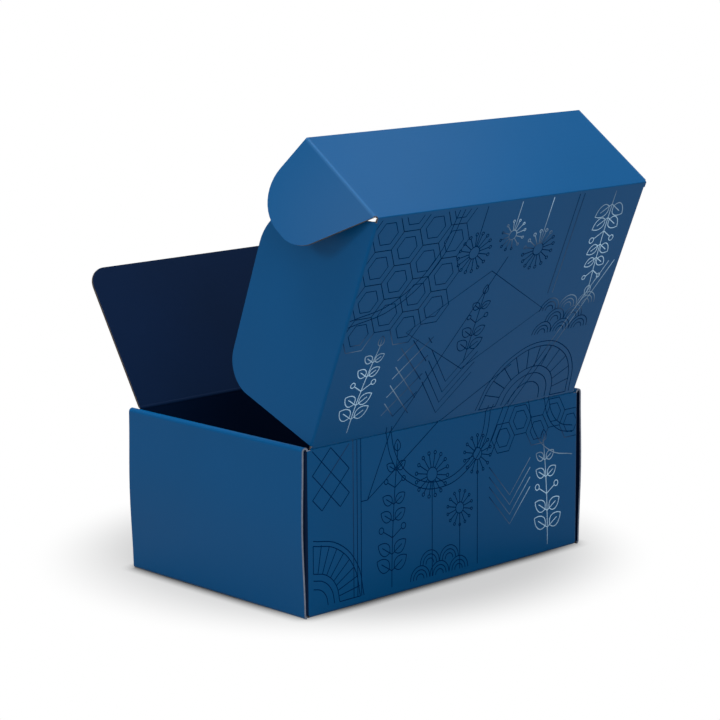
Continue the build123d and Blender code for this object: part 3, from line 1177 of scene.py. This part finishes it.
# %% Print the rear wall, the hinge and the lid
line_ink = line_inks()
MARGIN = 1.5                                   # bare board beside a bend
low, high = HINGE_AT + HINGE_LOW, HINGE_AT + HINGE_TOP
for name, body, bottom, top, side in (
    ("rear_wall_line_print", "tray", WALL_Y + MARGIN, low, FLAP_TURN),
    ("hinge_line_print", None, low, high, LID_HALF),
    ("lid_line_print", "lid", high, TUCK_AT - MARGIN, LID_HALF),
):
    film = make_piece(ink_film(bottom, top, side), name, [line_ink])
    if body:
        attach(film, body)
    else:
        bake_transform(film)

# %% [markdown]
# ## The floor
#
# The box stands on a sweep of white paper. Lit as softly as the box is, the paper itself would come
# out grey, so it shines a little where only the camera sees it: far from the box it is plain white
# for the camera and for mirror images, and near the box most of what the camera sees is a pale
# even tone, with the true shadow mixed in. Under the box's edges, where the light can't reach, that
# tone is turned down, and a thin dark line of contact stays. The box's matt colours get no light
# from any of it.

# %% Floor
FLOOR_HALF = 6.0                               # in metres, as all of this section is
SHADOW_SHIFT = (0.002, 0.018, 0)               # brings the shadow's middle to the pattern's origin
SHADOW_ENDS, WHITE_BEGINS = 0.117, 0.193       # radii between which the shadow fades to white
CAMERA_LIFT = 0.67                             # how much of the near floor is the even tone
CONTACT_REACH = 0.009                          # how far from the box the contact line is soft
HALF_COVERED, CONTACT_TONE = 0.5, 0.1          # where half the sky is hidden, a tenth is left
WHITE, EVEN_TONE = linear("#ffffff"), linear("#ebebeb")
floor_mesh = bpy.data.meshes.new("floor")
floor_bm = bmesh.new()
bmesh.ops.create_grid(floor_bm, x_segments=1, y_segments=1, size=FLOOR_HALF)
floor_bm.to_mesh(floor_mesh)
floor_bm.free()
floor = bpy.data.objects.new("floor", floor_mesh)
bpy.context.scene.collection.objects.link(floor)

white, tree = new_material("white_paper_sweep")
place = add(tree, "TexCoord").outputs["Object"]
centred = add(tree, "Mapping", {"Vector": place}, {"Location": SHADOW_SHIFT})
away = add(tree, "VectorMath", {0: centred.outputs["Vector"]}, operation="LENGTH")
far = add(
    tree, "MapRange", {"Value": away.outputs["Value"]},
    {"From Min": SHADOW_ENDS, "From Max": WHITE_BEGINS}, interpolation_type="SMOOTHSTEP",
)
path = add(tree, "LightPath")
camera_ray, glossy_ray = path.outputs["Is Camera Ray"], path.outputs["Is Glossy Ray"]
seen = add(tree, "Math", {0: camera_ray, 1: glossy_ray}, operation="MAXIMUM")
bare = add(tree, "Math", {0: far.outputs["Result"], 1: seen.outputs[0]}, operation="MULTIPLY")
sweep = add(tree, "BsdfDiffuse", values={"Color": linear("#a8a8a8")})
glow = add(tree, "Emission", values={"Color": WHITE, "Strength": 1.0})
held = add(tree, "Math", {0: camera_ray}, {1: CAMERA_LIFT}, operation="MULTIPLY")
contact = add(tree, "AmbientOcclusion", values={"Distance": CONTACT_REACH})
clear = add(
    tree, "MapRange", {"Value": contact.outputs["AO"]},
    {"From Min": HALF_COVERED, "To Min": CONTACT_TONE},
)
lift = add(tree, "Emission", {"Strength": clear.outputs["Result"]}, {"Color": EVEN_TONE})
near = add(tree, "MixShader", {0: held.outputs[0], 1: sweep.outputs[0], 2: lift.outputs[0]})
both = add(tree, "MixShader", {0: bare.outputs[0], 1: near.outputs[0], 2: glow.outputs[0]})
add(tree, "OutputMaterial", {"Surface": both.outputs[0]})
floor_mesh.materials.append(white)
print("the floor turns white from", WHITE_BEGINS, "m on")

# %% [markdown]
# ## The light
#
# A plain white room lights the box from all sides, so that no face is black. It is kept dim, to
# leave the softboxes something to do, and the camera sees it as pure white.

# %% World
ROOM = 0.42
world = bpy.data.worlds.new("studio")
bpy.context.scene.world = world
world.use_nodes = True
tree = world.node_tree
tree.nodes.clear()
path = add(tree, "LightPath")
soft = add(tree, "Background", values={"Color": WHITE, "Strength": ROOM})
white_world = add(tree, "Background", values={"Color": WHITE, "Strength": 1.0})
pick = add(
    tree, "MixShader",
    {0: path.outputs["Is Camera Ray"], 1: soft.outputs[0], 2: white_world.outputs[0]},
)
add(tree, "OutputWorld", {"Surface": pick.outputs[0]})
print("light of the room, where white is 1:", ROOM)

# %% [markdown]
# Round softboxes give the faces their different tones. The one above is the key light. The one
# beside the camera stands lower, and lights the rear wall, the side wall and the lid. The one at
# the rear lights the upright wall more than the lid, which leans over and shows it less of its
# face. The last two are small and weak. They are there for their mirror images in the matt film:
# one lays a pale veil on the right ear, and the other fades across the tuck flap.

# %% Softboxes
def softbox(name, place, target, size, power):
    """A round lamp that faces a target."""
    light = bpy.data.lights.new(name, "AREA")
    light.shape, light.size, light.energy = "DISK", size, power
    lamp = bpy.data.objects.new(name, light)
    lamp.location = place
    lamp.rotation_euler = (Vector(target) - Vector(place)).to_track_quat("-Z", "Y").to_euler()
    bpy.context.scene.collection.objects.link(lamp)
    print(name, "is", size, "m wide and gives", power, "W")


softbox("softbox_above", (0.22, -0.12, 1.8), (0, 0, 0.1), 1.2, 27.5)
softbox("softbox_beside_camera", (0.6, 1.05, 0.62), (0, 0, 0.12), 0.7, 4.3)
softbox("softbox_rear", (0.0, 1.0, 1.2), (0, 0, 0.12), 0.7, 1.25)
softbox("softbox_for_ear", (0.52, -0.014, 0.395), (0.12, 0.14, 0.25), 0.12, 0.50)
softbox("softbox_for_tuck_flap", (-0.38, 0.044, 0.76), (0.105, 0.13, 0.262), 0.2, 0.22)

# %% [markdown]
# ## The camera
#
# It looks at the rear right corner from a little above, through a long lens, as in a catalogue
# picture. Its place was found by matching the corners of the box in the picture: the direction it
# looks from, its distance, how far its axis passes beside and over the middle of the base, and a
# tilt of less than half a degree.

# %% Camera
AZIMUTH, ELEVATION, DISTANCE = math.radians(136.38), math.radians(10.94), 1.4989
AIM_ACROSS, AIM_UP, TILT = 0.0010, 0.1190, -0.0070
LENS, SENSOR = 122.85, 36.0
level = math.cos(ELEVATION)
back = Vector((math.sin(AZIMUTH) * level, -math.cos(AZIMUTH) * level, math.sin(ELEVATION)))
across = Vector((0, 0, 1)).cross(back).normalized()
up = back.cross(across)
place = across * AIM_ACROSS + up * AIM_UP + back * DISTANCE
right = across * math.cos(TILT) + up * math.sin(TILT)
top = up * math.cos(TILT) - across * math.sin(TILT)
camera_data = bpy.data.cameras.new("camera")
camera_data.lens, camera_data.sensor_width = LENS, SENSOR
camera = bpy.data.objects.new("camera", camera_data)
camera.matrix_world = Matrix((
    (right.x, top.x, back.x, place.x),
    (right.y, top.y, back.y, place.y),
    (right.z, top.z, back.z, place.z),
    (0, 0, 0, 1),
))
bpy.context.scene.collection.objects.link(camera)
bpy.context.scene.camera = camera
bpy.context.scene.view_settings.view_transform = "Standard"
print("camera at", [round(c, 3) for c in place])

# %% [markdown]
# ## The end
#
# Last, the scene is brought up to date.

# %% Finish
bpy.context.view_layer.update()
